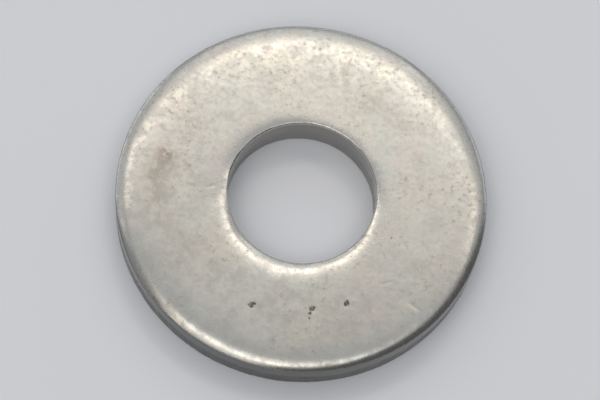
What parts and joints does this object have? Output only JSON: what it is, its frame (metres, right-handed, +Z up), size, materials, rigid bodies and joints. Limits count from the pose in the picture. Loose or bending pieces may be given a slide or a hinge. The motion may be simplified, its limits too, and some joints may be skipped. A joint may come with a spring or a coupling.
{
  "type": "flat washer",
  "caption": "Thick round flat washer with a plain central clearance bore; spreads the load of a screw head or nut. Both top edges are rolled over, both bottom edges are cut square.",
  "frame": {"origin": "middle of the bottom face, on the bore's axis", "axes": "+Z up through the bore, from the square-cut face to the face with the rolled edges; X and Y lie in the bottom face and are interchangeable"},
  "size_m": [0.016, 0.016, 0.0018],
  "materials": {
    "steel": "tumbled stamped stainless steel, satin and slightly mottled"
  },
  "bodies": {
    "root": {"washer": "steel"}
  },
  "joints": []
}
